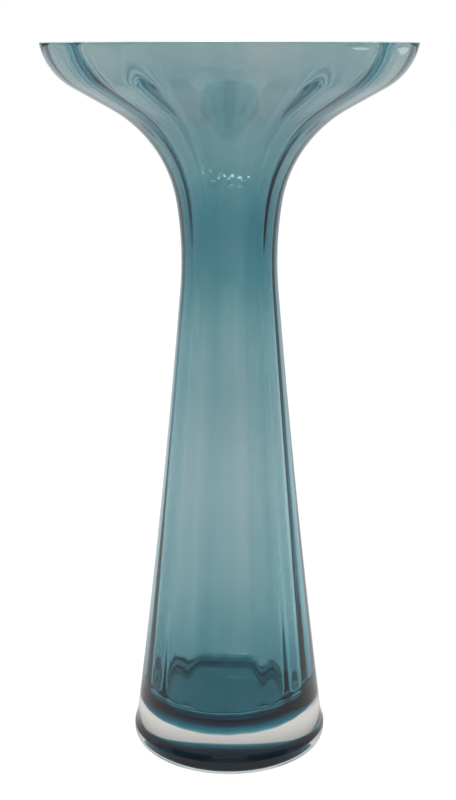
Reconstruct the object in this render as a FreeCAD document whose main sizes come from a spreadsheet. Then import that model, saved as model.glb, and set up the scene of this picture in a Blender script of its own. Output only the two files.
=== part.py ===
import FreeCAD, Part

import math
import os

import Sketcher
from FreeCAD import Placement, Rotation, Vector

# Trumpet vase of cased glass: a ribbed teal lining fused inside a clear casing with a solid foot.
# Millimetres and degrees. +Z is up and the origin is the centre of the base on its standing plane.
# An outline lies in the XZ plane: its first coordinate is a radius and its second a height.

doc = FreeCAD.newDocument("trumpet_vase")

# Driving dimensions

SIZES = (
    # The outer form, from the rim down to the standing ring
    ("height", 280.0),
    ("rim_radius", 70.0),
    ("lip_lean", 10.5),
    ("lip_curve", 23.0),
    ("bowl_slope", 61.0),
    ("flare_curve", 48.5),
    ("neck_radius", 18.5),
    ("bowl_depth", 80.0),
    ("neck_curve", 142.0),
    ("flank_curve", 4300.0),
    ("ankle_curve", 14.0),
    ("ankle_height", 12.4),
    ("shoulder_curve", 2.0),
    ("land_height", 5.9),
    ("foot_radius", 39.5),
    ("foot_edge", 3.0),
    ("ring_radius", 31.0),
    ("base_hollow", 2.9),
    # The two gathers of glass, each wall measured at the bottom of a flute
    ("casing_wall", 1.0),
    ("lining_wall", 1.3),
    ("lining_foot_wall", 1.7),
    ("lining_floor", 4.0),
    ("lining_corner", 8.7),
    # The open well inside the lining
    ("well_foot_radius", 28.6),
    ("well_foot_height", 32.0),
    ("well_floor_height", 17.5),
    ("well_corner", 7.0),
    # The optic ribs inside, and the slight lean of the blown well in its casing
    ("rib_count", 16),
    ("rib_depth", 1.2),
    ("rim_rib_depth", 0.5),
    ("well_lean", 0.4),
    ("overrun", 1.5),
)
sheet = doc.addObject("Spreadsheet::Sheet", "Sizes")
for line, (alias, value) in enumerate(SIZES, start=1):
    sheet.set("A%d" % line, alias)
    sheet.set("B%d" % line, str(value))
    sheet.setAlias("B%d" % line, alias)
doc.recompute()


def size(alias):
    """Return a driving dimension from the sheet."""
    return float(sheet.get(alias))


def angle(alias):
    """Return a driving angle from the sheet, in radians."""
    return math.radians(size(alias))


def polar(centre, radius, turn):
    """Return the point of a circle in the outline's plane at an angle in radians."""
    return centre + Vector(radius * math.cos(turn), radius * math.sin(turn), 0)


def turn_of(centre, point):
    """Return the angle at which a circle's centre sees a point."""
    return math.atan2(point.y - centre.y, point.x - centre.x)


# Centres of the bowl's and neck's curves, which every wall of the glass shares

neck_centre = Vector(size("neck_radius") + size("neck_curve"), size("height") - size("bowl_depth"), 0)
lip_centre = Vector(
    size("rim_radius") - size("lip_curve") * math.cos(angle("lip_lean")),
    size("height") + size("lip_curve") * math.sin(angle("lip_lean")),
    0,
)


def bowl_angles():
    """Return where the neck's curve meets the flare's, as an angle from the horizontal.

    The straight wall of the bowl touches the flare's circle and the lip's circle. The flare's circle touches
    the neck's circle from inside, so the distance across that wall fixes the meeting angle.
    """
    across = Vector(math.cos(angle("bowl_slope")), -math.sin(angle("bowl_slope")), 0)
    reach = across.dot(neck_centre - lip_centre) - size("lip_curve") - size("flare_curve")
    return angle("bowl_slope") - math.acos(reach / (size("neck_curve") - size("flare_curve")))


flare_start = bowl_angles()
flare_centre = polar(neck_centre, size("neck_curve") - size("flare_curve"), math.pi - flare_start)
slope_end = angle("bowl_slope")


# The outer form: one tangent outline, turned about the axis

def foot_circles():
    """Return the centres of the flank's, the ankle's and the shoulder's circles.

    The ankle's circle touches the shoulder's from outside. The flank's wide circle holds the neck's and the
    ankle's and touches both from inside.
    """
    shoulder = Vector(size("foot_radius") - size("shoulder_curve"), size("land_height"), 0)
    rise = size("ankle_height") - size("land_height")
    reach = math.sqrt((size("shoulder_curve") + size("ankle_curve"))**2 - rise**2)
    ankle = shoulder + Vector(reach, rise, 0)
    to_ankle = size("flank_curve") - size("ankle_curve")
    to_neck = size("flank_curve") - size("neck_curve")
    line = neck_centre - ankle
    along = (to_ankle**2 - to_neck**2 + line.Length**2) / (2 * line.Length)
    aside = Vector(line.y, -line.x, 0).normalize()
    flank = ankle + line.normalize() * along + aside * math.sqrt(to_ankle**2 - along**2)
    return flank, ankle, shoulder


class Outline:
    """A sketch whose pieces are drawn end to end, each from where the last one stopped."""

    def __init__(self, sketch, start):
        """Take the empty sketch and the first point."""
        self.sketch = sketch
        self.point = start
        self.last = None

    def add(self, geometry, end, start_at, end_at, join):
        """Add a piece, join it to the one before and keep its end.

        start_at and end_at are the sketch's numbers for the piece's two ends. join is Tangent or Coincident.
        """
        piece = self.sketch.addGeometry(geometry, False)
        if self.last:
            joined = Sketcher.Constraint(join, *self.last, piece, start_at)
            self.sketch.addConstraint(joined)
        self.last = (piece, end_at)
        self.point = end
        return piece

    def line(self, end, join="Tangent"):
        """Draw a straight piece to a point."""
        return self.add(Part.LineSegment(self.point, end), end, 1, 2, join)

    def arc(self, centre, end, anticlockwise, join="Tangent"):
        """Draw an arc about a centre to a point."""
        radius = (self.point - centre).Length
        turns = turn_of(centre, self.point), turn_of(centre, end)
        first, last = turns if anticlockwise else turns[::-1]
        ends = (1, 2) if anticlockwise else (2, 1)
        circle = Part.Circle(centre, Vector(0, 0, 1), radius)
        return self.add(Part.ArcOfCircle(circle, first, last), end, *ends, join)

    def bind(self, kind, *where, to):
        """Add a dimension and tie it to an expression of the sheet's sizes."""
        value = self.sketch.evalExpression(to)
        at = self.sketch.addConstraint(Sketcher.Constraint(kind, *where, value))
        self.sketch.setExpression("Constraints[%d]" % at, to)


def origin_feature(body, role):
    """Return the body's own origin plane or axis of the given role."""
    return next(item for item in body.Origin.OriginFeatures if item.Role == role)


def draw_outer(sketch):
    """Draw the closed half section of the whole glass, from the base's centre up to the rim."""
    flank_centre, ankle_centre, shoulder_centre = foot_circles()
    hollow, ring, edge = size("base_hollow"), size("ring_radius"), size("foot_edge")
    hollow_curve = (ring**2 + hollow**2) / (2 * hollow)
    hollow_centre = Vector(0, hollow - hollow_curve, 0)
    foot, height = size("foot_radius"), size("height")

    pen = Outline(sketch, Vector(0, hollow, 0))
    base = pen.arc(hollow_centre, Vector(ring, 0, 0), anticlockwise=False)
    stand = pen.line(Vector(foot - edge, 0, 0), join="Coincident")
    bead = pen.arc(Vector(foot - edge, edge, 0), Vector(foot, edge, 0), anticlockwise=True)
    land = pen.line(Vector(foot, size("land_height"), 0))
    meets = polar(shoulder_centre, size("shoulder_curve"), turn_of(shoulder_centre, ankle_centre))
    shoulder = pen.arc(shoulder_centre, meets, anticlockwise=True)
    meets = polar(flank_centre, size("flank_curve"), turn_of(flank_centre, ankle_centre))
    ankle = pen.arc(ankle_centre, meets, anticlockwise=False)
    meets = polar(neck_centre, size("neck_curve"), turn_of(flank_centre, neck_centre))
    flank = pen.arc(flank_centre, meets, anticlockwise=False)
    meets = polar(neck_centre, size("neck_curve"), math.pi - flare_start)
    neck = pen.arc(neck_centre, meets, anticlockwise=False)
    meets = polar(flare_centre, size("flare_curve"), math.pi - slope_end)
    flare = pen.arc(flare_centre, meets, anticlockwise=False)
    slope = pen.line(polar(lip_centre, size("lip_curve"), -slope_end))
    lip = pen.arc(lip_centre, Vector(size("rim_radius"), height, 0), anticlockwise=True)
    rim = pen.line(Vector(0, height, 0), join="Coincident")
    axis = pen.line(Vector(0, hollow, 0), join="Coincident")
    sketch.addConstraint(Sketcher.Constraint("Coincident", axis, 2, base, 2))

    for piece in (stand, rim):
        sketch.addConstraint(Sketcher.Constraint("Horizontal", piece))
    for piece in (land, axis):
        sketch.addConstraint(Sketcher.Constraint("Vertical", piece))
    sketch.addConstraint(Sketcher.Constraint("PointOnObject", axis, 2, -2))
    sketch.addConstraint(Sketcher.Constraint("PointOnObject", base, 3, -2))
    sketch.addConstraint(Sketcher.Constraint("PointOnObject", stand, 1, -1))
    origin = (-1, 1)
    pen.bind("DistanceY", *origin, base, 2, to="Sizes.base_hollow")
    pen.bind("DistanceX", *origin, stand, 1, to="Sizes.ring_radius")
    pen.bind("DistanceX", *origin, land, 1, to="Sizes.foot_radius")
    pen.bind("DistanceY", *origin, land, 2, to="Sizes.land_height")
    pen.bind("Radius", bead, to="Sizes.foot_edge")
    pen.bind("Radius", shoulder, to="Sizes.shoulder_curve")
    pen.bind("Radius", ankle, to="Sizes.ankle_curve")
    pen.bind("DistanceY", *origin, ankle, 3, to="Sizes.ankle_height")
    pen.bind("Radius", flank, to="Sizes.flank_curve")
    pen.bind("Radius", neck, to="Sizes.neck_curve")
    pen.bind("DistanceX", *origin, neck, 3, to="Sizes.neck_radius + Sizes.neck_curve")
    pen.bind("DistanceY", *origin, neck, 3, to="Sizes.height - Sizes.bowl_depth")
    pen.bind("Radius", flare, to="Sizes.flare_curve")
    pen.bind("Angle", -2, 1, slope, 1, to="-Sizes.bowl_slope * 1deg")
    pen.bind("Radius", lip, to="Sizes.lip_curve")
    pen.bind("DistanceX", *origin, lip, 2, to="Sizes.rim_radius")
    pen.bind("DistanceY", *origin, lip, 2, to="Sizes.height")
    pen.bind("DistanceY", lip, 2, lip, 3, to="Sizes.lip_curve * sin(Sizes.lip_lean * 1deg)")


outer_form = doc.addObject("PartDesign::Body", "outer_form")
outline = outer_form.newObject("Sketcher::SketchObject", "outer_outline")
outline.AttachmentSupport = [(origin_feature(outer_form, "XZ_Plane"), "")]
outline.MapMode = "FlatFace"
draw_outer(outline)
doc.recompute()
turned_glass = outer_form.newObject("PartDesign::Revolution", "turned_glass")
turned_glass.Profile = outline
turned_glass.ReferenceAxis = (outline, ["V_Axis"])
turned_glass.Angle = 360


# The two inner forms: level sections joined by strips, which follow the outer form's curves inside a wall

CORNER_STRIP_COUNT = 3
FLANK_STRIP_COUNT = 4
NECK_STRIP_COUNT = 3
FLARE_STRIP_COUNT = 5
SLOPE_STRIP_COUNT = 1
LIP_STRIP_COUNT = 4
FLUTE_SHARES = (-0.5, 0.0, 0.5)


def between(first, last, share):
    """Return the value or point at a share of the way from first to last."""
    return first + (last - first) * share


def stops(first, last, strips):
    """Return the ends of a number of even strips, without the first."""
    return [between(first, last, strip / strips) for strip in range(1, strips + 1)]


def wall_stations(wall, foot, floor, corner):
    """Return the stations of a wall inside the glass, from its floor up past the rim.

    wall is its distance inside the outer form at the bowl and neck, foot a point of its flank, floor its
    lowest height and corner the radius that joins flank and floor. Each station is a point and the wall's
    angle from the vertical there.
    """
    neck_radius = size("neck_curve") + wall
    to_neck = neck_centre - foot
    lean = math.atan2(to_neck.y, to_neck.x) - math.acos(neck_radius / to_neck.Length)
    across = Vector(math.cos(lean), math.sin(lean), 0)
    corner_height = floor + corner
    corner_radius = (across.dot(foot) - corner - corner_height * across.y) / across.x
    corner_centre = Vector(corner_radius, corner_height, 0)
    flank = polar(corner_centre, corner, lean), polar(neck_centre, neck_radius, math.pi + lean)
    lip_radius = size("lip_curve") - wall
    lip_end = math.asin((lip_centre.y - size("height") - size("overrun")) / lip_radius)
    flare_radius = size("flare_curve") + wall
    slope = polar(flare_centre, flare_radius, math.pi - slope_end), polar(lip_centre, lip_radius, -slope_end)

    stations = [(Vector(corner_radius, floor, 0), -math.pi / 2)]
    for turn in stops(-math.pi / 2, lean, CORNER_STRIP_COUNT):
        stations.append((polar(corner_centre, corner, turn), turn))
    for point in stops(*flank, FLANK_STRIP_COUNT):
        stations.append((point, lean))
    for turn in stops(lean, -flare_start, NECK_STRIP_COUNT):
        stations.append((polar(neck_centre, neck_radius, math.pi + turn), turn))
    for turn in stops(-flare_start, -slope_end, FLARE_STRIP_COUNT):
        stations.append((polar(flare_centre, flare_radius, math.pi + turn), turn))
    for point in stops(*slope, SLOPE_STRIP_COUNT):
        stations.append((point, -slope_end))
    for turn in stops(-slope_end, -lip_end, LIP_STRIP_COUNT):
        stations.append((polar(lip_centre, lip_radius, turn), turn))
    return stations


def rib_depth(point, turn):
    """Return how far the ribs stand out at a station: they fade at the floor and soften to the rim."""
    bowl = max(0.0, point.y - neck_centre.y) / size("bowl_depth")
    depth = between(size("rib_depth"), size("rim_rib_depth"), min(1.0, bowl))
    if point.y < neck_centre.y:
        depth *= math.cos(turn) ** 2
    return depth / max(math.cos(turn), math.cos(slope_end))


def plain_section(point, turn):
    """Return the round level outline at a station."""
    return Part.Wire(Part.Circle(Vector(0, 0, point.y), Vector(0, 0, 1), point.x).toShape())


def ribbed_section(point, turn):
    """Return the level outline at a station: hollow flutes that face each side and meet in ribs."""
    count = int(size("rib_count"))
    crest = point.x - rib_depth(point, turn)
    flutes = []
    for flute in range(count):
        ends = []
        for share, radius in zip(FLUTE_SHARES, (crest, point.x, crest)):
            end = polar(Vector(), radius, 2 * math.pi * (flute + share) / count)
            ends.append(end + Vector(0, 0, point.y))
        flutes.append(Part.Arc(*ends).toShape())
    return Part.Wire(flutes)


def inner_form(name, section, stations):
    """Add the solid inside a wall, which leans with the blown well about the rim's centre."""
    form = doc.addObject("Part::Feature", name)
    form.Shape = Part.makeLoft([section(*station) for station in stations], True, True)
    rim_centre = Vector(0, 0, size("height"))
    form.Placement = Placement(Vector(), Rotation(Vector(0, 1, 0), size("well_lean")), rim_centre)
    return form


well_foot = Vector(size("well_foot_radius"), size("well_foot_height"), 0)
lining_form = inner_form("lining_form", plain_section, wall_stations(
    wall=size("casing_wall"),
    foot=well_foot + Vector(size("lining_foot_wall"), 0, 0),
    floor=size("well_floor_height") - size("lining_floor"),
    corner=size("lining_corner"),
))
well_form = inner_form("well_form", ribbed_section, wall_stations(
    wall=size("casing_wall") + size("lining_wall"),
    foot=well_foot,
    floor=size("well_floor_height"),
    corner=size("well_corner"),
))

# The clear casing is the outer form less the lining, and the lining is what the well leaves

casing = doc.addObject("Part::Cut", "clear_casing")
casing.Base, casing.Tool = outer_form, lining_form
cup = doc.addObject("Part::Common", "lining_cup")
cup.Base, cup.Tool = lining_form, outer_form
lining = doc.addObject("Part::Cut", "teal_lining")
lining.Base, lining.Tool = cup, well_form
doc.recompute()

# Every object has to be sound before the files are written

for item in doc.Objects:
    if "Invalid" in item.State or "Error" in item.State:
        raise SystemExit("%s did not build: %s" % (item.Label, item.State))

os.makedirs("parts", exist_ok=True)
for part in (casing, lining):
    if part.Shape.isNull() or not part.Shape.isValid():
        raise SystemExit("%s has no sound shape" % part.Label)
    part.Shape.exportStep("parts/%s.step" % part.Label)
    print(part.Label, round(part.Shape.Volume), "cubic mm in", len(part.Shape.Solids), "solid")
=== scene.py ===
import logging
import math
from dataclasses import dataclass
from enum import Enum, IntEnum
from typing import NamedTuple

import bmesh
import bpy
from mathutils import Matrix, Vector


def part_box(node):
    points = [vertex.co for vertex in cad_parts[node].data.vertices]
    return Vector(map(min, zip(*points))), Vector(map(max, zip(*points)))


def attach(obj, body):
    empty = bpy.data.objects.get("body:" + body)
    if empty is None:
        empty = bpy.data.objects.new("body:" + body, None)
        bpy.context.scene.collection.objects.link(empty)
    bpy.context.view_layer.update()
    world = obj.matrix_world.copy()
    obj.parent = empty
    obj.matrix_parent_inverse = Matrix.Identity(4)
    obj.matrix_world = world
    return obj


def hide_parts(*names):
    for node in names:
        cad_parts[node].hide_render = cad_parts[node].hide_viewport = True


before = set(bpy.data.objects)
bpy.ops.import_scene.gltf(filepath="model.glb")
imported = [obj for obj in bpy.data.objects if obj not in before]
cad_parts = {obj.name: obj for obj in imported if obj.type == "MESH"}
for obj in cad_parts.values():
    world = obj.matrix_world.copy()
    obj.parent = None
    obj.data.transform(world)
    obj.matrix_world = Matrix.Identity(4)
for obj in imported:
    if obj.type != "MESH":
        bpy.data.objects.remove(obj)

LOG = logging.getLogger("trumpet_vase")
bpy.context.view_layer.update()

Colour = tuple[float, float, float]

MM = 0.001
WELD = 0.001 * MM
FULL_TURN = 2 * math.pi
QUARTER_TURN = math.pi / 2
SHARP_TURN = math.radians(50.0)
ARRIS_STEPS = 3
ROUND_PROFILE = 0.5
FROM_NEIGHBOURS = -1
GLASS_BOUNCES = 32
MIRROR_BOUNCES = 16
UNBENT_BOUNCES = 64
WHITE: Colour = (1.0, 1.0, 1.0)


# Curves of the glass


@dataclass(frozen=True)
class GlassCurves:
    """The curves that every wall of the glass shares, in metres and radians.

    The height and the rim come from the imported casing, and the rest are the vase's own driving sizes.

    Attributes:
        height: The vase's height.
        rim_radius: Radius of its rim.
        lip_lean: How far the lip still leans out from upright at the rim.
        lip_curve: Radius of the lip's curve, outside.
        bowl_slope: How far the bowl leans out from upright in its straight stretch.
        flare_curve: Radius of the curve between neck and bowl, outside.
        neck_radius: The neck's radius, outside.
        bowl_depth: How far the middle of the neck lies under the rim.
        neck_curve: Radius of the neck's curve, outside.
    """

    height: float
    rim_radius: float
    lip_lean: float = math.radians(10.5)
    lip_curve: float = 23.0 * MM
    bowl_slope: float = math.radians(61.0)
    flare_curve: float = 48.5 * MM
    neck_radius: float = 18.5 * MM
    bowl_depth: float = 80.0 * MM
    neck_curve: float = 142.0 * MM

    @property
    def neck_centre(self) -> Vector:
        """Find the centre of the neck's curve."""
        return Vector((self.neck_radius + self.neck_curve, 0.0, self.height - self.bowl_depth))

    @property
    def lip_centre(self) -> Vector:
        """Find the centre of the lip's curve.

        Returns:
            Its place in the outline's plane.
        """
        reach = self.lip_curve * math.cos(self.lip_lean)
        rise = self.lip_curve * math.sin(self.lip_lean)
        return Vector((self.rim_radius - reach, 0.0, self.height + rise))

    @property
    def flare_start(self) -> float:
        """Find where the neck's curve meets the flare's.

        Returns:
            How far the wall has turned from upright there.
        """
        across = Vector((math.cos(self.bowl_slope), 0.0, -math.sin(self.bowl_slope)))
        reach = across.dot(self.neck_centre - self.lip_centre) - self.lip_curve - self.flare_curve
        return self.bowl_slope - math.acos(reach / (self.neck_curve - self.flare_curve))

    @property
    def flare_centre(self) -> Vector:
        """Find the centre of the flare's curve."""
        return on_circle(self.neck_centre, self.neck_curve - self.flare_curve, math.pi - self.flare_start)


def on_circle(centre: Vector, radius: float, turn: float) -> Vector:
    """Find the point of a circle in the outline's plane at an angle from +X towards +Z."""
    return centre + Vector((radius * math.cos(turn), 0.0, radius * math.sin(turn)))


class OutlinePen:
    """Draws an outline in the XZ plane, each piece from where the last one stopped.

    Attributes:
        mesh: The bmesh that it draws in.
        tip: Where the outline has got to.
    """

    SPACING = 3.0 * MM
    LARGEST_TURN = math.radians(5.0)

    def __init__(self, mesh: bmesh.types.BMesh, start: Vector) -> None:
        """Put the first point down."""
        self.mesh = mesh
        self.tip = mesh.verts.new(start).co.copy()

    def last_vert(self) -> bmesh.types.BMVert:
        """Find the vertex at the outline's tip."""
        return min(self.mesh.verts, key=lambda vert: (vert.co - self.tip).length_squared)

    def line(self, end: Vector) -> None:
        """Draw a straight piece.

        Args:
            end: Where the piece stops.
        """
        cuts = int((end - self.tip).length / self.SPACING)
        made = bmesh.ops.extrude_vert_indiv(self.mesh, verts=[self.last_vert()])
        bmesh.ops.translate(self.mesh, verts=made["verts"], vec=end - self.tip)
        if cuts:
            bmesh.ops.subdivide_edges(self.mesh, edges=made["edges"], cuts=cuts)
        self.tip = end.copy()

    def arc(self, centre: Vector, end: float) -> None:
        """Draw an arc by turning the last point about a centre.

        Args:
            centre: The arc's centre.
            end: The angle at which it stops, from +X towards +Z.
        """
        spoke = self.tip - centre
        turn = math.remainder(end - math.atan2(spoke.z, spoke.x), FULL_TURN)
        steps = math.ceil(max(abs(turn) / self.LARGEST_TURN, abs(turn) * spoke.length / self.SPACING))
        tip = self.last_vert()
        bmesh.ops.spin(self.mesh, geom=[tip], cent=centre, axis=(0.0, -1.0, 0.0), angle=turn, steps=steps)
        self.tip = on_circle(centre, spoke.length, end)

    def turn_about_axis(self, segments: int) -> None:
        """Turn the outline right round the vase's axis and close its poles.

        Args:
            segments: How many faces go round.
        """
        outline = self.mesh.verts[:] + self.mesh.edges[:]
        bmesh.ops.spin(
            self.mesh,
            geom=outline,
            cent=(0.0, 0.0, 0.0),
            axis=(0.0, 0.0, 1.0),
            angle=FULL_TURN,
            steps=segments,
            use_merge=True,
        )
        bmesh.ops.remove_doubles(self.mesh, verts=self.mesh.verts[:], dist=WELD)
        bmesh.ops.recalc_face_normals(self.mesh, faces=self.mesh.faces[:])


# Shader helpers


def opaque(colour: Colour) -> tuple[float, float, float, float]:
    """Give a colour its alpha."""
    return (*colour, 1.0)


class Value:
    """A number socket that writes its sums as Math nodes."""

    def __init__(self, shader: "Shader", socket: bpy.types.NodeSocket) -> None:
        """Wrap an output socket of a node tree."""
        self.shader = shader
        self.socket = socket

    def __add__(self, other: "Value | float") -> "Value":
        """Add another value or a number."""
        return self.shader.maths("ADD", self, other)

    def __mul__(self, other: "Value | float") -> "Value":
        """Multiply by another value or a number."""
        return self.shader.maths("MULTIPLY", self, other)

    def __rsub__(self, other: float) -> "Value":
        """Take this value away from a number."""
        return self.shader.maths("SUBTRACT", other, self)

    def smooth(self, low: float, high: float) -> "Value":
        """Ease from 0 to 1.

        Args:
            low: Where the value is still 0.
            high: Where it has reached 1.

        Returns:
            The eased value.
        """
        made = self.shader.node(
            "ShaderNodeMapRange",
            {"interpolation_type": "SMOOTHSTEP"},
            {"Value": self, "From Min": low, "From Max": high},
        )
        return Value(self.shader, made.outputs["Result"])


class Shader:
    """A node tree that is filled by one call per node."""

    def __init__(self, tree: bpy.types.NodeTree) -> None:
        """Take over a node tree and empty it."""
        self.tree = tree
        tree.nodes.clear()

    def node(self, kind: str, settings: dict[str, object], inputs: dict[str | int, object]) -> bpy.types.Node:
        """Add a node.

        Args:
            kind: The node's type.
            settings: Its own settings, which are set first.
            inputs: A number, colour, Value or socket for each named input.

        Returns:
            The new node.
        """
        made = self.tree.nodes.new(kind)
        for name, setting in settings.items():
            setattr(made, name, setting)
        for name, given in inputs.items():
            if isinstance(given, Value):
                given = given.socket
            if isinstance(given, bpy.types.NodeSocket):
                self.tree.links.new(given, made.inputs[name])
            else:
                made.inputs[name].default_value = given
        return made

    def maths(self, operation: str, *numbers: "Value | float") -> Value:
        """Add a Math node for numbers in their order."""
        made = self.node("ShaderNodeMath", {"operation": operation}, dict(enumerate(numbers)))
        return Value(self, made.outputs[0])

    def blend(self, share: Value, first: Colour, second: Colour) -> bpy.types.NodeSocket:
        """Mix two colours.

        Args:
            share: How much of the second colour to take.
            first: The colour at 0.
            second: The colour at 1.

        Returns:
            The colour socket.
        """
        made = self.node("ShaderNodeMix", {"data_type": "RGBA"}, {})
        sockets = {item.identifier: item for item in made.inputs}
        self.tree.links.new(share.socket, sockets["Factor_Float"])
        sockets["A_Color"].default_value = opaque(first)
        sockets["B_Color"].default_value = opaque(second)
        return next(item for item in made.outputs if item.identifier == "Result_Color")

    def mix_surfaces(
        self,
        share: float | bpy.types.NodeSocket,
        first: bpy.types.NodeSocket,
        second: bpy.types.NodeSocket,
    ) -> bpy.types.NodeSocket:
        """Mix two surfaces by the second one's share."""
        inputs = dict(enumerate((share, first, second)))
        return self.node("ShaderNodeMixShader", {}, inputs).outputs["Shader"]

    def noise(self, place: bpy.types.NodeSocket, scale: float, detail: float = 2.0) -> Value:
        """Add a noise pattern with so many waves to the metre, about 0.5 in the middle."""
        made = self.node("ShaderNodeTexNoise", {}, {"Vector": place, "Scale": scale, "Detail": detail})
        return Value(self, made.outputs["Fac"])


# Glass


FUSED_MASK = "fused"
RIM_MASK = "cut_rim"

# A face whose corners all lie this close under the top belongs to the ground rim.
RIM_CUT = 0.4 * MM


class Face(IntEnum):
    """What a face of a gather of glass meets: the air or the other gather."""

    OPEN = 0
    FUSED = 1


@dataclass(frozen=True)
class GlassFinish:
    """A fire-polished glass: clear at its surface and coloured all through.

    Attributes:
        name: The finish's name.
        per_metre: What a metre of it takes out of red, green and blue, as a natural logarithm.
        clearness: How clear its surface is: the square of what one surface lets through.
        ior: Its index of refraction.
        ripple: Depth of the hand-made waves in its surface, in metres.
        waves_per_metre: How many of them there are in a metre across.
        drawn_out: How many there are upwards, for each one across.
        wave_strength: How strongly they bend the light.
        haze: Greatest roughness, where the polish is least even.
        haze_per_metre: How often the polish changes in a metre.
        haze_detail: How many finer octaves that has.
        haze_start: Value of its pattern up to which the polish is perfect.
        haze_full: Value from which the roughness is greatest.
        cut_tone: Colour of the ground rim.
        cut_clearness: How much of the light the ground rim lets through.
        satin: The ground rim's roughness.
    """

    name: str
    per_metre: Colour
    clearness: float = 0.75
    ior: float = 1.5
    ripple: float = 0.03 * MM
    waves_per_metre: float = 55.0
    drawn_out: float = 0.35
    wave_strength: float = 0.35
    haze: float = 0.02
    haze_per_metre: float = 28.0
    haze_detail: float = 4.0
    haze_start: float = 0.35
    haze_full: float = 0.75
    cut_tone: Colour = (0.60, 0.70, 0.70)
    cut_clearness: float = 0.45
    satin: float = 0.4

    def surface(self, shader: Shader) -> bpy.types.NodeSocket:
        """Add the polished surface, which refracts, with soft waves and faintly uneven polish.

        Args:
            shader: The node tree to add it to.

        Returns:
            The surface's socket.
        """
        place = shader.node("ShaderNodeTexCoord", {}, {}).outputs["Object"]
        inputs = {"Vector": place, "Scale": (1.0, 1.0, self.drawn_out)}
        drawn = shader.node("ShaderNodeMapping", {}, inputs)
        waves = shader.noise(drawn.outputs["Vector"], self.waves_per_metre)
        haze = shader.noise(place, self.haze_per_metre, self.haze_detail)
        inputs = {"Strength": self.wave_strength, "Distance": self.ripple, "Height": waves}
        bump = shader.node("ShaderNodeBump", {}, inputs)
        inputs = {
            "Base Color": opaque((self.clearness,) * 3),
            "Roughness": haze.smooth(self.haze_start, self.haze_full) * self.haze,
            "IOR": self.ior,
            "Transmission Weight": 1.0,
            "Normal": bump.outputs["Normal"],
        }
        return shader.node("ShaderNodeBsdfPrincipled", {}, inputs).outputs["BSDF"]

    def cut_surface(self, shader: Shader) -> bpy.types.NodeSocket:
        """Add the satin surface of the rim, which is cut flat and ground.

        Args:
            shader: The node tree to add it to.

        Returns:
            The surface's socket.
        """
        inputs = {
            "Base Color": opaque(self.cut_tone),
            "Roughness": self.satin,
            "IOR": self.ior,
            "Transmission Weight": self.cut_clearness,
        }
        return shader.node("ShaderNodeBsdfPrincipled", {}, inputs).outputs["BSDF"]

    def make(self) -> bpy.types.Material:
        """Make the glass: polished where it meets the air, and bending no light where it is fused.

        Returns:
            The material, coloured by its depth.
        """
        material = bpy.data.materials.new(self.name)
        material.use_nodes = True
        shader = Shader(material.node_tree)
        fused = shader.node("ShaderNodeAttribute", {"attribute_name": FUSED_MASK}, {}).outputs["Fac"]
        unbent = shader.node("ShaderNodeBsdfTransparent", {}, {"Color": opaque(WHITE)}).outputs["BSDF"]
        rim = shader.node("ShaderNodeAttribute", {"attribute_name": RIM_MASK}, {}).outputs["Fac"]
        in_air = shader.mix_surfaces(rim, self.surface(shader), self.cut_surface(shader))
        both = shader.mix_surfaces(fused, in_air, unbent)
        strongest = max(self.per_metre)
        colour = tuple(1.0 - share / strongest for share in self.per_metre)
        inputs = {"Color": opaque(colour), "Density": strongest}
        depth = shader.node("ShaderNodeVolumeAbsorption", {}, inputs).outputs["Volume"]
        shader.node("ShaderNodeOutputMaterial", {}, {"Surface": both, "Volume": depth})
        return material


TEAL_GLASS = GlassFinish("teal_glass", per_metre=(690.0, 312.0, 248.0))
CLEAR_GLASS = GlassFinish("clear_glass", per_metre=(1.0, 1.1, 1.4))


def eased(share: float) -> float:
    """Ease a share from 0 to 1 at both its ends."""
    return share * share * (3.0 - 2.0 * share)


def move_verts(mesh: bmesh.types.BMesh, moves: list[Vector]) -> None:
    """Move each vertex of a mesh by its own step, in their order."""
    for vert, move in zip(mesh.verts, moves):
        vert.co += move


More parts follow.
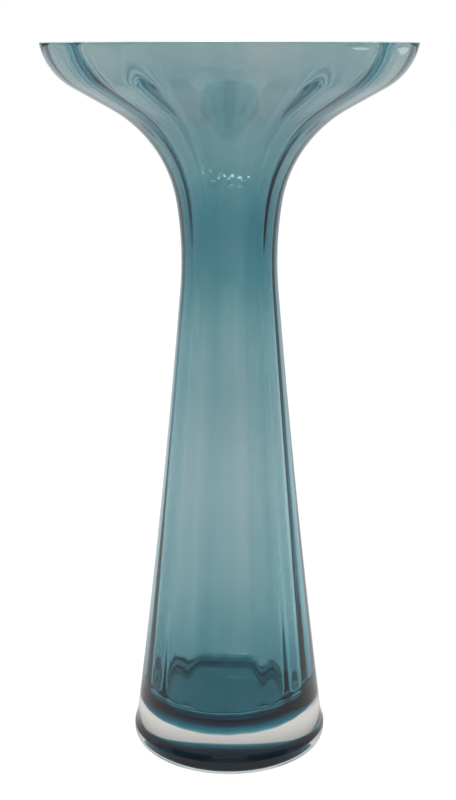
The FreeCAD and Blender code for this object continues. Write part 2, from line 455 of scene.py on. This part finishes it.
@dataclass(frozen=True)
class Well:
    """The open inside of the vase, blown into a ribbed mould.

    Attributes:
        curves: The vase's shared curves.
        wall: How far the well lies inside the outer form at the bowl and neck.
        foot_radius: Its radius at the bottom of a flute, at the foot height.
        foot_height: Where that radius is measured.
        floor: Height of its floor.
        corner: Radius that joins floor and flank.
        ribs: How many ribs it has.
        rib_depth: How far they stand out in the body.
        foot_rib_depth: How far they stand out at the foot.
        foot_rib_end: Height at which that has faded into the body's.
        rim_rib_depth: How far they stand out at the rim.
        lean: How far the blown well leans in its casing.
        segments: Faces round the well.
    """

    curves: GlassCurves
    wall: float = 2.3 * MM
    foot_radius: float = 28.6 * MM
    foot_height: float = 32.0 * MM
    floor: float = 17.5 * MM
    corner: float = 9.0 * MM
    ribs: int = 16
    rib_depth: float = 0.22 * MM
    foot_rib_depth: float = 0.7 * MM
    foot_rib_end: float = 105.0 * MM
    rim_rib_depth: float = 1.1 * MM
    lean: float = math.radians(0.4)
    segments: int = 224

    def draw(self, mesh: bmesh.types.BMesh) -> None:
        """Turn the well's smooth wall, from the middle of its floor up to the rim.

        Args:
            mesh: An empty bmesh.
        """
        curves = self.curves
        neck_radius = curves.neck_curve + self.wall
        to_neck = curves.neck_centre - Vector((self.foot_radius, 0.0, self.foot_height))
        lean = math.atan2(to_neck.z, to_neck.x) - math.acos(neck_radius / to_neck.length)
        corner_height = self.floor + self.corner
        flank_reach = self.foot_radius * math.cos(lean) + self.foot_height * math.sin(lean)
        corner_radius = (flank_reach - self.corner - corner_height * math.sin(lean)) / math.cos(lean)
        lip_radius = curves.lip_curve - self.wall
        pen = OutlinePen(mesh, Vector((0.0, 0.0, self.floor)))
        pen.line(Vector((corner_radius, 0.0, self.floor)))
        pen.arc(Vector((corner_radius, 0.0, corner_height)), lean)
        pen.line(on_circle(curves.neck_centre, neck_radius, math.pi + lean))
        pen.arc(curves.neck_centre, math.pi - curves.flare_start)
        pen.arc(curves.flare_centre, math.pi - curves.bowl_slope)
        pen.line(on_circle(curves.lip_centre, lip_radius, -curves.bowl_slope))
        pen.arc(curves.lip_centre, math.asin((curves.height - curves.lip_centre.z) / lip_radius))
        pen.turn_about_axis(self.segments)

    def rib_height(self, place: Vector, normal: Vector) -> float:
        """Find how far the ribs stand out: least in the body, more at foot and rim, not at all on the floor.

        Args:
            place: A point of the smooth wall.
            normal: The wall's normal there.

        Returns:
            The rib's height above the bottom of a flute.
        """
        bowl = (place.z - self.curves.neck_centre.z) / self.curves.bowl_depth
        if bowl > 0.0:
            return self.rib_depth + (self.rim_rib_depth - self.rib_depth) * min(1.0, bowl)
        at_foot = eased(max(0.0, 1.0 - place.z / self.foot_rib_end))
        body = self.rib_depth + (self.foot_rib_depth - self.rib_depth) * at_foot
        return body * (1.0 - normal.z**2) ** 2

    def press_ribs(self, mesh: bmesh.types.BMesh) -> None:
        """Raise the ribs on the smooth wall and lean the well in its casing.

        Args:
            mesh: The turned well, whose normals point away from its hollow.
        """
        mesh.normal_update()
        moves = []
        for vert in mesh.verts:
            around = math.atan2(vert.co.y, vert.co.x)
            share = (1.0 - math.cos(self.ribs * around)) / 2
            moves.append(vert.normal * (-share * self.rib_height(vert.co, vert.normal)))
        move_verts(mesh, moves)
        rim = Vector((0.0, 0.0, self.curves.height))
        turn = Matrix.Rotation(self.lean, 3, "Y")
        bmesh.ops.rotate(mesh, cent=rim, matrix=turn, verts=mesh.verts[:])

    def wall_mesh(self, depth_of: "ColourDepth | None" = None, gap: float = 0.0) -> bmesh.types.BMesh:
        """Make the well's wall, or the wall that lies behind the colour.

        Args:
            depth_of: How deep the colour is, where the wall behind it is wanted.
            gap: A hair of space that keeps two fused faces apart.

        Returns:
            An open wall that is cut flat at the rim, with its normals away from the hollow.
        """
        mesh = bmesh.new()
        self.draw(mesh)
        top = max(mesh.faces, key=lambda face: face.calc_center_median().z)
        if top.normal.dot(top.calc_center_median().xy.to_3d()) < 0.0:
            bmesh.ops.reverse_faces(mesh, faces=mesh.faces[:])
        self.press_ribs(mesh)
        if depth_of:
            mesh.normal_update()
            move_verts(mesh, [vert.normal * (depth_of.at(vert.co) + gap) for vert in mesh.verts])
        for edge in open_edges(mesh):
            for vert in edge.verts:
                vert.co.z = self.curves.height
        return mesh


def open_edges(mesh: bmesh.types.BMesh) -> list[bmesh.types.BMEdge]:
    """Find the open edges of a wall, which are its rim."""
    return [edge for edge in mesh.edges if len(edge.link_faces) == 1]


class ColourStation(NamedTuple):
    """A place on the way up the vase where the depth of the teal glass is known.

    Attributes:
        height: How high above the base it is, in metres.
        depth: How deep the teal glass is there, in metres.
    """

    height: float
    depth: float


@dataclass(frozen=True)
class ColourDepth:
    """How deep the teal glass is between the well and the clear casing.

    The stations go up the vase. Where the gather was drawn out, it left faint upright streaks.

    Attributes:
        floor: The depth on the floor of the well.
        corner: The depth where the floor turns up.
        heel: The depth just above that corner.
        foot: The depth low in the body.
        body: The depth in the middle of the body.
        flank: The depth high in the body.
        neck: The depth in the neck.
        bowl: The depth where the bowl opens.
        rim: The depth just under the rim.
        streak_depth: How much deeper or shallower the streaks make it at most.
        broad_streaks: How many broad streaks go round.
        fine_streaks: How many fine streaks go round.
    """

    floor: ColourStation = ColourStation(17.75 * MM, 3.0 * MM)
    corner: ColourStation = ColourStation(18.3 * MM, 6.0 * MM)
    heel: ColourStation = ColourStation(22.0 * MM, 1.5 * MM)
    foot: ColourStation = ColourStation(62.0 * MM, 0.75 * MM)
    body: ColourStation = ColourStation(112.0 * MM, 0.58 * MM)
    flank: ColourStation = ColourStation(163.0 * MM, 0.78 * MM)
    neck: ColourStation = ColourStation(212.0 * MM, 1.6 * MM)
    bowl: ColourStation = ColourStation(242.0 * MM, 0.95 * MM)
    rim: ColourStation = ColourStation(278.0 * MM, 0.48 * MM)
    streak_depth: float = 0.13 * MM
    broad_streaks: int = 7
    fine_streaks: int = 19

    def streak(self, bearing: float) -> float:
        """Find how much deeper or shallower the streaks make the colour at a bearing."""
        both = math.cos(self.broad_streaks * bearing) + math.sin(self.fine_streaks * bearing)
        return self.streak_depth * both / 2

    def at(self, place: Vector) -> float:
        """Find the depth at a point of the well's wall, with the streaks."""
        return self.level(place.z) + self.streak(math.atan2(place.y, place.x))

    def level(self, height: float) -> float:
        """Find the depth at a height, without the streaks.

        Args:
            height: A height above the base.

        Returns:
            The depth there, eased between the named stations.
        """
        low_ones = (self.floor, self.corner, self.heel, self.foot, self.body)
        rising = (*low_ones, self.flank, self.neck, self.bowl, self.rim)
        if height <= self.floor.height:
            return self.floor.depth
        for low, high in zip(rising, rising[1:]):
            if height < high.height:
                share = (height - low.height) / (high.height - low.height)
                return low.depth + (high.depth - low.depth) * eased(share)
        return self.rim.depth


@dataclass(frozen=True)
class OuterForm:
    """The outside of the vase: rim, bowl, neck, long flank and clear foot, in metres.

    Attributes:
        curves: The vase's shared curves.
        flank_curve: Radius of the long flank's faint curve.
        ankle_curve: Radius of the curve that joins flank and foot.
        ankle_height: Height of that curve's centre.
        shoulder_curve: Radius of the foot's upper edge.
        land_height: Height at which the foot's upright band ends.
        foot_radius: The foot's radius.
        foot_edge: Radius of the foot's lower edge.
        ring_radius: Radius of the hollow inside the standing ring.
        base_hollow: Depth of that hollow.
        segments: Faces round the outside.
    """

    curves: GlassCurves
    flank_curve: float = 4300.0 * MM
    ankle_curve: float = 14.0 * MM
    ankle_height: float = 12.4 * MM
    shoulder_curve: float = 2.0 * MM
    land_height: float = 5.9 * MM
    foot_radius: float = 39.5 * MM
    foot_edge: float = 4.0 * MM
    ring_radius: float = 31.0 * MM
    base_hollow: float = 0.7 * MM
    segments: int = 224

    def foot_circles(self) -> tuple[Vector, Vector, Vector]:
        """Find the circles that shape the foot.

        Returns:
            The centres of the flank's, the ankle's and the shoulder's circles.
        """
        neck = self.curves.neck_centre
        shoulder = Vector((self.foot_radius - self.shoulder_curve, 0.0, self.land_height))
        rise = self.ankle_height - self.land_height
        reach = math.sqrt((self.shoulder_curve + self.ankle_curve) ** 2 - rise**2)
        ankle = shoulder + Vector((reach, 0.0, rise))
        to_ankle = self.flank_curve - self.ankle_curve
        to_neck = self.flank_curve - self.curves.neck_curve
        line = neck - ankle
        along = (to_ankle**2 - to_neck**2 + line.length_squared) / (2 * line.length)
        aside = Vector((line.z, 0.0, -line.x)).normalized()
        flank = ankle + line.normalized() * along + aside * math.sqrt(to_ankle**2 - along**2)
        return flank, ankle, shoulder

    def draw(self, mesh: bmesh.types.BMesh) -> None:
        """Turn the outside, from the middle of the hollowed base up to the rim.

        Args:
            mesh: An empty bmesh.
        """
        curves = self.curves
        flank, ankle, shoulder = self.foot_circles()
        hollow_curve = (self.ring_radius**2 + self.base_hollow**2) / (2 * self.base_hollow)
        hollow = Vector((0.0, 0.0, self.base_hollow - hollow_curve))
        pen = OutlinePen(mesh, Vector((0.0, 0.0, self.base_hollow)))
        pen.arc(hollow, math.atan2(-hollow.z, self.ring_radius))
        pen.line(Vector((self.foot_radius - self.foot_edge, 0.0, 0.0)))
        pen.arc(Vector((self.foot_radius - self.foot_edge, 0.0, self.foot_edge)), 0.0)
        pen.line(Vector((self.foot_radius, 0.0, self.land_height)))
        pen.arc(shoulder, math.atan2(ankle.z - shoulder.z, ankle.x - shoulder.x))
        pen.arc(ankle, math.atan2(ankle.z - flank.z, ankle.x - flank.x))
        pen.arc(flank, math.atan2(curves.neck_centre.z - flank.z, curves.neck_centre.x - flank.x))
        pen.arc(curves.neck_centre, math.pi - curves.flare_start)
        pen.arc(curves.flare_centre, math.pi - curves.bowl_slope)
        pen.line(on_circle(curves.lip_centre, curves.lip_curve, -curves.bowl_slope))
        pen.arc(curves.lip_centre, -curves.lip_lean)
        pen.turn_about_axis(self.segments)


def on_open_side(edge: bmesh.types.BMEdge) -> bool:
    """Say whether an edge has only faces that meet the air."""
    return all(face.material_index == Face.OPEN for face in edge.link_faces)


def bearing_of(vert: bmesh.types.BMVert, segments: int) -> int:
    """Say which of the segments round the axis a vertex stands on."""
    return round(math.atan2(vert.co.y, vert.co.x) * segments / FULL_TURN) % segments


def lay_rim(wall: bmesh.types.BMesh, behind: bmesh.types.BMesh, segments: int) -> None:
    """Lay the flat rim from one wall's top edge to the other's.

    Args:
        wall: The wall that meets the air, which gets the rim.
        behind: The wall that the rim reaches.
        segments: How many faces go round each.
    """
    reach = {bearing_of(vert, segments): vert.co for edge in open_edges(behind) for vert in edge.verts}
    made = bmesh.ops.extrude_edge_only(wall, edges=open_edges(wall))
    for vert in made["geom"]:
        if isinstance(vert, bmesh.types.BMVert):
            vert.co = reach[bearing_of(vert, segments)]


def join_walls(
    wall: bmesh.types.BMesh,
    behind: bmesh.types.BMesh,
    segments: int,
    arris: float,
) -> bmesh.types.BMesh:
    """Join two walls into one closed shape by the flat rim between them, and polish the rim's edge.

    Args:
        wall: The wall that meets the air.
        behind: The wall that is fused to the other gather.
        segments: How many faces go round each.
        arris: Width of the polished edge.

    Returns:
        The closed shape, with its faces outwards. The walls are freed.
    """
    lay_rim(wall, behind, segments)
    joined = bmesh.new()
    for part, slot in ((wall, Face.OPEN), (behind, Face.FUSED)):
        for face in part.faces:
            face.material_index = slot
        data = bpy.data.meshes.new("wall")
        part.to_mesh(data)
        part.free()
        joined.from_mesh(data)
        bpy.data.meshes.remove(data)
    bmesh.ops.remove_doubles(joined, verts=joined.verts[:], dist=WELD)
    bmesh.ops.recalc_face_normals(joined, faces=joined.faces[:])
    polished = [edge for edge in joined.edges if on_open_side(edge) and edge.calc_face_angle() > SHARP_TURN]
    bmesh.ops.bevel(
        joined,
        geom=polished,
        offset=arris,
        segments=ARRIS_STEPS,
        profile=ROUND_PROFILE,
        affect="EDGES",
        material=FROM_NEIGHBOURS,
    )
    return joined


class Gather:
    """A gather of glass that is finished as one piece of the scene."""

    def finish(
        self,
        mesh: bmesh.types.BMesh,
        name: str,
        node: str,
        slot: str,
        glass: GlassFinish,
    ) -> bpy.types.Object:
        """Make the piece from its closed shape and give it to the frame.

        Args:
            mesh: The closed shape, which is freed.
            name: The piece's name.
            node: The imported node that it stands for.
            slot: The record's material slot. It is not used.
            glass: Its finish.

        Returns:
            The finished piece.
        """
        fused = mesh.faces.layers.float.new(FUSED_MASK)
        rim = mesh.faces.layers.float.new(RIM_MASK)
        cut = max(vert.co.z for vert in mesh.verts) - RIM_CUT
        for face in mesh.faces:
            face[rim] = float(min(vert.co.z for vert in face.verts) > cut)
            face[fused] = float(face.material_index)
            face.material_index = 0
            face.smooth = True
        for edge in mesh.edges:
            if len(edge.link_faces) == 2 and edge.calc_face_angle() > SHARP_TURN:
                edge.smooth = False
        data = bpy.data.meshes.new(name)
        mesh.to_mesh(data)
        mesh.free()
        data.materials.append(glass.make())
        piece = bpy.data.objects.new(name, data)
        bpy.context.scene.collection.objects.link(piece)
        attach(piece, "root")
        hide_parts(node)
        LOG.info("%s: %d faces", name, len(data.polygons))
        return piece


@dataclass(frozen=True)
class TealLining(Gather):
    """The coloured cup: the ribbed well's wall and the fused face behind it.

    Attributes:
        well: The well that it lines.
        depth: How deep its colour is.
        arris: Width of the polished edge at its rim.
    """

    well: Well
    depth: ColourDepth
    arris: float = 0.25 * MM

    def build(self) -> bpy.types.Object:
        """Make the lining.

        Returns:
            The finished piece.
        """
        inside = self.well.wall_mesh()
        behind = self.well.wall_mesh(self.depth)
        shape = join_walls(inside, behind, self.well.segments, self.arris)
        return self.finish(shape, "ribbed_lining", "teal_lining", "teal_glass", TEAL_GLASS)


@dataclass(frozen=True)
class ClearCasing(Gather):
    """The colourless glass over the lining, with its solid foot.

    Attributes:
        outside: Its outer form.
        well: The well inside it.
        depth: How deep the colour is between the two.
        gap: A hair of space between its fused face and the lining's.
        arris: Width of the polished edge at its rim.
    """

    outside: OuterForm
    well: Well
    depth: ColourDepth
    gap: float = 0.02 * MM
    arris: float = 0.35 * MM

    def build(self) -> bpy.types.Object:
        """Make the casing.

        Returns:
            The finished piece.
        """
        outer = bmesh.new()
        self.outside.draw(outer)
        fused = self.well.wall_mesh(self.depth, self.gap)
        shape = join_walls(outer, fused, self.well.segments, self.arris)
        return self.finish(shape, "cased_body", "clear_casing", "clear_glass", CLEAR_GLASS)


# Studio


class PanelSide(Enum):
    """Where a soft panel stands round the vase."""

    FRONT = "front"
    RIGHT = "right"


@dataclass(frozen=True)
class SoftPanel:
    """A soft rectangular lamp that faces the vase.

    Attributes:
        side: The side that it is named after.
        place: Where it stands, in metres.
        width: Its width.
        length: Its height.
        watts: Its power.
    """

    side: PanelSide
    place: tuple[float, float, float]
    width: float
    length: float
    watts: float

    def build(self, target: Vector) -> None:
        """Hang the lamp.

        Args:
            target: What it faces.
        """
        data = bpy.data.lights.new("soft_panel_" + self.side.value, "AREA")
        data.shape = "RECTANGLE"
        data.size = self.width
        data.size_y = self.length
        data.energy = self.watts
        lamp = bpy.data.objects.new(data.name, data)
        lamp.location = self.place
        lamp.rotation_euler = (target - lamp.location).to_track_quat("-Z", "Y").to_euler()
        bpy.context.scene.collection.objects.link(lamp)


PANELS = (
    SoftPanel(side=PanelSide.FRONT, place=(-0.16, -1.15, 0.92), width=0.80, length=0.14, watts=26.0),
    SoftPanel(side=PanelSide.RIGHT, place=(0.9, -0.7, 0.9), width=0.08, length=0.25, watts=1.0),
)


@dataclass(frozen=True)
class Studio:
    """A white table in a white room with dark gaps between its panels, as glass is lit.

    Attributes:
        floor_size: Width of the table.
        floor_drop: Hair of air under the standing ring.
        floor_glow: How much of the table's white is its own, and not what light falls on it.
        floor_white: How bright that own white is.
        front_start: Where the table turns dark in front of the vase, to the glass.
        front_end: Where it is darkest.
        front_tone: How bright it is there.
        floor_tone: Colour of the table.
        room_light: How bright the room is to the table.
        to_glass: Colour of the room and table behind the glass.
        in_gloss: How bright the room is in the glass's reflections, beside that.
        gap_tone: How bright the dark gaps and the ceiling are.
        gap_middle: Angle from the middle of a white panel to the middle of a gap.
        panel_edge: Angle from the middle of a white panel at which its soft edge starts.
        gap_edge: Angle at which the gap is darkest.
        gap_top: Height of a direction, as its sine, up to which the gaps are dark.
        gap_end: The same where they have ended.
        ceiling_edge: Height of a direction, as its sine, at which the ceiling starts.
        ceiling_full: The same where the ceiling is darkest.
    """

    floor_size: float = 6.0
    floor_drop: float = 0.1 * MM
    floor_glow: float = 0.8
    floor_white: float = 1.06
    front_start: float = -0.03
    front_end: float = -0.25
    front_tone: float = 0.2
    floor_tone: float = 0.97
    room_light: float = 0.92
    to_glass: Colour = (0.90, 0.885, 0.865)
    in_gloss: float = 0.55
    gap_tone: float = 0.25
    gap_middle: float = QUARTER_TURN / 2
    panel_edge: float = math.radians(17.0)
    gap_edge: float = math.radians(24.0)
    gap_top: float = 0.12
    gap_end: float = 0.26
    ceiling_edge: float = 0.42
    ceiling_full: float = 0.62

    def behind_glass(self, shader: Shader) -> tuple[Value, bpy.types.NodeSocket, Value]:
        """Tell the rays that the glass bends or mirrors from the camera's own.

        Args:
            shader: The node tree to add to.

        Returns:
            1 for a ray from the glass and 0 for any other, the room's colour for the ray, and 1 for a ray
            that the glass only mirrors.
        """
        path = shader.node("ShaderNodeLightPath", {}, {})
        mirrored = Value(shader, path.outputs["Is Glossy Ray"])
        bent = Value(shader, path.outputs["Is Transmission Ray"])
        direct = Value(shader, path.outputs["Is Camera Ray"])
        seen = shader.maths("MAXIMUM", mirrored, bent) * (1.0 - direct)
        return seen, shader.blend(seen, WHITE, self.to_glass), mirrored * (1.0 - bent) * (1.0 - direct)

    def build_floor(self) -> None:
        """Lay the table."""
        mesh = bmesh.new()
        bmesh.ops.create_grid(mesh, x_segments=1, y_segments=1, size=self.floor_size / 2)
        bmesh.ops.translate(mesh, verts=mesh.verts[:], vec=(0.0, 0.0, -self.floor_drop))
        data = bpy.data.meshes.new("table")
        mesh.to_mesh(data)
        mesh.free()
        material = bpy.data.materials.new("white_table")
        material.use_nodes = True
        shader = Shader(material.node_tree)
        tone = (self.floor_tone,) * 3
        card = shader.node("ShaderNodeBsdfDiffuse", {}, {"Color": opaque(tone)}).outputs["BSDF"]
        seen, colour, mirrored = self.behind_glass(shader)
        place = shader.node("ShaderNodeTexCoord", {}, {}).outputs["Object"]
        north = Value(shader, shader.node("ShaderNodeSeparateXYZ", {}, {"Vector": place}).outputs["Y"])
        front = 1.0 - north.smooth(self.front_end, self.front_start)
        strength = self.floor_white - mirrored * (1.0 - self.in_gloss)
        strength = strength * (1.0 - front * seen * (1.0 - self.front_tone))
        glow = shader.node("ShaderNodeEmission", {}, {"Color": colour, "Strength": strength})
        both = shader.mix_surfaces(self.floor_glow, card, glow.outputs["Emission"])
        shader.node("ShaderNodeOutputMaterial", {}, {"Surface": both})
        data.materials.append(material)
        floor = bpy.data.objects.new("table", data)
        bpy.context.scene.collection.objects.link(floor)

    def build_room(self) -> None:
        """Paint the room: white to the camera and the table, panels and dark gaps to the glass."""
        world = bpy.data.worlds.new("white_room")
        world.use_nodes = True
        bpy.context.scene.world = world
        shader = Shader(world.node_tree)
        direction = shader.node("ShaderNodeTexCoord", {}, {}).outputs["Generated"]
        split = shader.node("ShaderNodeSeparateXYZ", {}, {"Vector": direction})
        east, north, up = (Value(shader, split.outputs[axis]) for axis in "XYZ")
        bearing = shader.maths("ARCTAN2", east, north)
        off_panel = shader.maths("PINGPONG", bearing, self.gap_middle)
        low = 1.0 - up.smooth(self.gap_top, self.gap_end)
        gap = off_panel.smooth(self.panel_edge, self.gap_edge) * low
        dark = shader.maths("MAXIMUM", gap, up.smooth(self.ceiling_edge, self.ceiling_full))
        seen, colour, mirrored = self.behind_glass(shader)
        direct = Value(shader, shader.node("ShaderNodeLightPath", {}, {}).outputs["Is Camera Ray"])
        shade = (1.0 - dark * seen * (1.0 - self.gap_tone)) * (1.0 - mirrored * (1.0 - self.in_gloss))
        lit = shader.maths("MAXIMUM", seen, direct)
        strength = shade * (lit + (1.0 - lit) * self.room_light)
        room = shader.node("ShaderNodeBackground", {}, {"Color": colour, "Strength": strength})
        shader.node("ShaderNodeOutputWorld", {}, {"Surface": room.outputs["Background"]})

    def build(self, target: Vector) -> None:
        """Set up the table, the room and the soft panels.

        Args:
            target: The middle of the vase.
        """
        self.build_floor()
        self.build_room()
        for panel in PANELS:
            panel.build(target)


@dataclass(frozen=True)
class View:
    """The photograph's camera.

    Attributes:
        place: Where it stands, in metres.
        tilt: How far it looks down.
        lens: Its focal length in millimetres, for the film height below.
        film_height: Height of the film in millimetres.
    """

    place: tuple[float, float, float] = (-0.00054, -0.5131, 0.27528)
    tilt: float = math.radians(14.41)
    lens: float = 60.26
    film_height: float = 36.0

    def build(self) -> None:
        """Set up the camera."""
        data = bpy.data.cameras.new("view")
        data.sensor_fit = "VERTICAL"
        data.sensor_height = self.film_height
        data.lens = self.lens
        camera = bpy.data.objects.new("view", data)
        camera.location = self.place
        camera.rotation_euler = (QUARTER_TURN - self.tilt, 0.0, 0.0)
        bpy.context.scene.collection.objects.link(camera)
        bpy.context.scene.camera = camera


def set_up_render() -> None:
    """Show colours as they are, and let light pass through every wall of the glass."""
    scene = bpy.context.scene
    scene.view_settings.view_transform = "Standard"
    scene.cycles.max_bounces = GLASS_BOUNCES
    scene.cycles.transmission_bounces = GLASS_BOUNCES
    scene.cycles.glossy_bounces = MIRROR_BOUNCES
    scene.cycles.transparent_max_bounces = UNBENT_BOUNCES


def main() -> None:
    """Build the vase and its studio."""
    logging.basicConfig(level=logging.INFO)
    _, (rim_radius, _, height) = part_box("clear_casing")
    curves = GlassCurves(height=height, rim_radius=rim_radius)
    well = Well(curves)
    depth = ColourDepth()
    TealLining(well, depth).build()
    ClearCasing(OuterForm(curves), well, depth).build()
    Studio().build(Vector((0.0, 0.0, curves.height / 2)))
    View().build()
    set_up_render()


if __name__ == "__main__":
    main()
